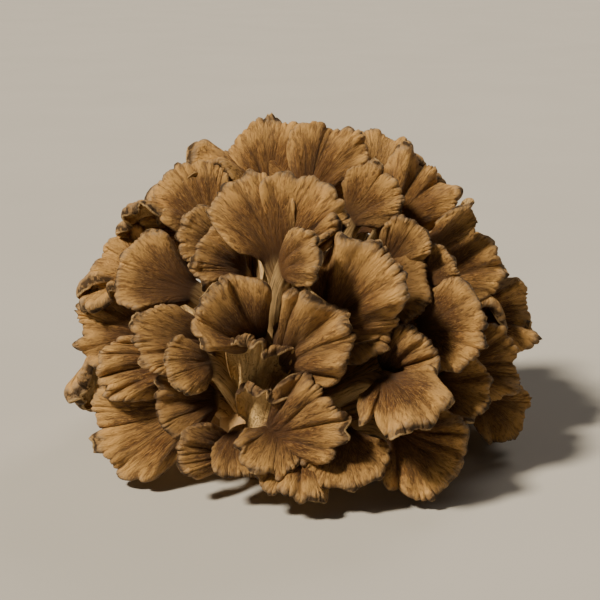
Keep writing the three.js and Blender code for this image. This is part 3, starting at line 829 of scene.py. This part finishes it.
def butt_rings(settings):
    """The butt as closed rings, from its crown down to the middle of the sole.

    The dome is the butt's skin in every direction above the level, plus a sum of sines in random
    directions for its lumps. A wall that bulges by half a sine joins it to the cut, and the sole
    is the cut's outline drawn in to the middle.
    """
    rng = np.random.default_rng(7)
    around = np.linspace(0, 2 * math.pi, BUTT_AROUND + 1)[:-1]
    polar = np.linspace(POLE, math.pi / 2, BUTT_DOWN)
    p, t = polar[:, None], around[None, :]
    out = np.stack([np.sin(p) * np.cos(t), np.sin(p) * np.sin(t), np.cos(p) * np.ones_like(t)], axis=-1)
    bumps = np.zeros(out.shape[:2])
    for _ in range(LUMPS):
        way = unit(rng.normal(size=3))
        bumps += np.sin(rng.uniform(5, 22) * (out @ way) + rng.uniform(0, 6)) / LUMP_SHARE
    skin = butt_skin(out) + settings.knobble * bumps
    dome = BUTT_CENTRE + out * skin[..., None]
    middle = BUTT_CENTRE * [1, 1, 0]
    ways = np.stack([np.cos(around), np.sin(around), np.zeros_like(around)], axis=-1)
    foot = middle + ways * (CUT_RADIUS * (1 + 0.04 * bumps[-1][:, None]))
    u = np.linspace(0, 1, WALL_DOWN)[1:, None, None]
    bulge = (ways * WALL_BULGE * np.ones_like(u)) * np.sin(math.pi * u)
    wall = dome[-1][None] * (1 - u) + foot[None] * u + bulge
    sole = middle + (foot - middle)[None] * np.array(SOLE_SHARES)[:, None, None]
    return np.concatenate([dome, wall, sole])[:, ::-1]


class MAITAKE_OT_butt(bpy.types.Operator):
    """Adds the butt: the base that every frond grows from."""

    bl_idname = "maitake.butt"
    bl_label = "Butt"

    def execute(self, context):
        settings = context.scene.maitake_butt
        rings = butt_rings(settings)
        stack = {"rings": rings, "uv": np.zeros(rings.shape[:2] + (2,)), "attributes": {}}
        mesh = mesh_from_stacks("butt_body", [stack])
        add_piece("butt_base", mesh, butt_flesh(settings), "butt")
        return {"FINISHED"}


class MAITAKE_OT_front_rosette(bpy.types.Operator):
    """Adds the fronds of the front rosette."""

    bl_idname = "maitake.front_rosette"
    bl_label = "Front rosette"

    def execute(self, context):
        settings = context.scene.maitake_fronds
        material = bpy.data.materials.get("maitake_skin") or frond_skin(settings)
        for seed, row in enumerate(FRONT):
            add_frond((*row, 0), settings, material, seed)
        return {"FINISHED"}


class MAITAKE_OT_back_rings(bpy.types.Operator):
    """Adds the rings of broad fronds at the back."""

    bl_idname = "maitake.back_rings"
    bl_label = "Back rings"

    def execute(self, context):
        settings = context.scene.maitake_fronds
        material = bpy.data.materials.get("maitake_skin") or frond_skin(settings)
        seed = len(FRONT)
        for name, bearings, neck, tip, spread in BACK_RINGS:
            for i, bearing in enumerate(bearings):
                row = (f"{name}_{i + 1}", (bearing, *neck), (bearing, *tip), spread,
                       BACK_CURL, BACK_FOLD, BACK_ROLL, bearing)
                add_frond(row, settings, material, seed)
                seed += 1
        return {"FINISHED"}


def add_sun(name, towards, softness, power, colour, aim):
    """A sun lamp that shines from a bearing and a rise."""
    bearing, rise = towards[0] * DEG, towards[1] * DEG
    out = Vector((math.sin(bearing) * math.cos(rise), -math.cos(bearing) * math.cos(rise), math.sin(rise)))
    lamp = bpy.data.lights.new(name, "SUN")
    lamp.angle = softness
    lamp.energy = power
    lamp.color = colour
    light = bpy.data.objects.new(name, lamp)
    light.location = aim + out
    light.rotation_euler = out.to_track_quat("Z", "Y").to_euler()
    bpy.context.scene.collection.objects.link(light)


class MAITAKE_OT_stage(bpy.types.Operator):
    """Adds the floor, the lights and the camera."""

    bl_idname = "maitake.stage"
    bl_label = "Stage"

    def execute(self, context):
        settings = context.scene.maitake_stage
        aim = Vector(DOME_CENTRE) + Vector((0, 0, AIM_RISE))
        corners = [(x * FLOOR_HALF, y * FLOOR_HALF, 0) for x, y in ((-1, -1), (1, -1), (1, 1), (-1, 1))]
        mesh = bpy.data.meshes.new("floor")
        mesh.from_pydata(corners, [], [(0, 1, 2, 3)])
        floor = bpy.data.objects.new("floor", mesh)
        mesh.materials.append(floor_paint(settings))
        context.scene.collection.objects.link(floor)
        add_sun("key", KEY_PLACE, KEY_SOFTNESS, settings.key, KEY_COLOUR, aim)
        add_sun("rim", RIM_PLACE, RIM_SOFTNESS, settings.key * RIM_SHARE, RIM_COLOUR, aim)
        world = bpy.data.worlds.new("studio")
        world.use_nodes = True
        background = world.node_tree.nodes["Background"]
        background.inputs["Color"].default_value = ROOM_COLOUR
        background.inputs["Strength"].default_value = ROOM_STRENGTH
        context.scene.world = world
        camera = bpy.data.cameras.new("camera")
        camera.lens = settings.lens
        camera.sensor_width = SENSOR_WIDTH
        eye = bpy.data.objects.new("camera", camera)
        back = Vector((0, -math.cos(settings.elevation), math.sin(settings.elevation)))
        eye.location = aim + back * settings.distance
        eye.rotation_euler = back.to_track_quat("Z", "Y").to_euler()
        context.scene.collection.objects.link(eye)
        context.scene.camera = eye
        return {"FINISHED"}


class MAITAKE_PT_panel(bpy.types.Panel):
    """Lists the mushroom's sizes and its operators."""

    bl_idname = "MAITAKE_PT_panel"
    bl_label = "Maitake"
    bl_space_type = "VIEW_3D"
    bl_region_type = "UI"
    bl_category = "Maitake"

    def draw(self, context):
        for group in ("maitake_butt", "maitake_fronds", "maitake_stage"):
            settings = getattr(context.scene, group)
            for key in settings.bl_rna.properties.keys():
                if key not in ("rna_type", "name"):
                    self.layout.prop(settings, key)
        for operator in OPERATORS:
            self.layout.operator(operator.bl_idname)


OPERATORS = (MAITAKE_OT_butt, MAITAKE_OT_front_rosette, MAITAKE_OT_back_rings, MAITAKE_OT_stage)
CLASSES = (FrondSettings, ButtSettings, StageSettings, *OPERATORS, MAITAKE_PT_panel)


def register():
    """Registers the classes and puts the settings on the scene."""
    for cls in CLASSES:
        bpy.utils.register_class(cls)
    bpy.types.Scene.maitake_fronds = PointerProperty(type=FrondSettings)
    bpy.types.Scene.maitake_butt = PointerProperty(type=ButtSettings)
    bpy.types.Scene.maitake_stage = PointerProperty(type=StageSettings)


def unregister():
    """Takes back what register did."""
    del bpy.types.Scene.maitake_stage
    del bpy.types.Scene.maitake_butt
    del bpy.types.Scene.maitake_fronds
    for cls in reversed(CLASSES):
        bpy.utils.unregister_class(cls)


def main():
    """Builds the mushroom and its stage."""
    register()
    bpy.ops.maitake.butt()
    bpy.ops.maitake.front_rosette()
    bpy.ops.maitake.back_rings()
    bpy.ops.maitake.stage()


if __name__ == "__main__":
    main()
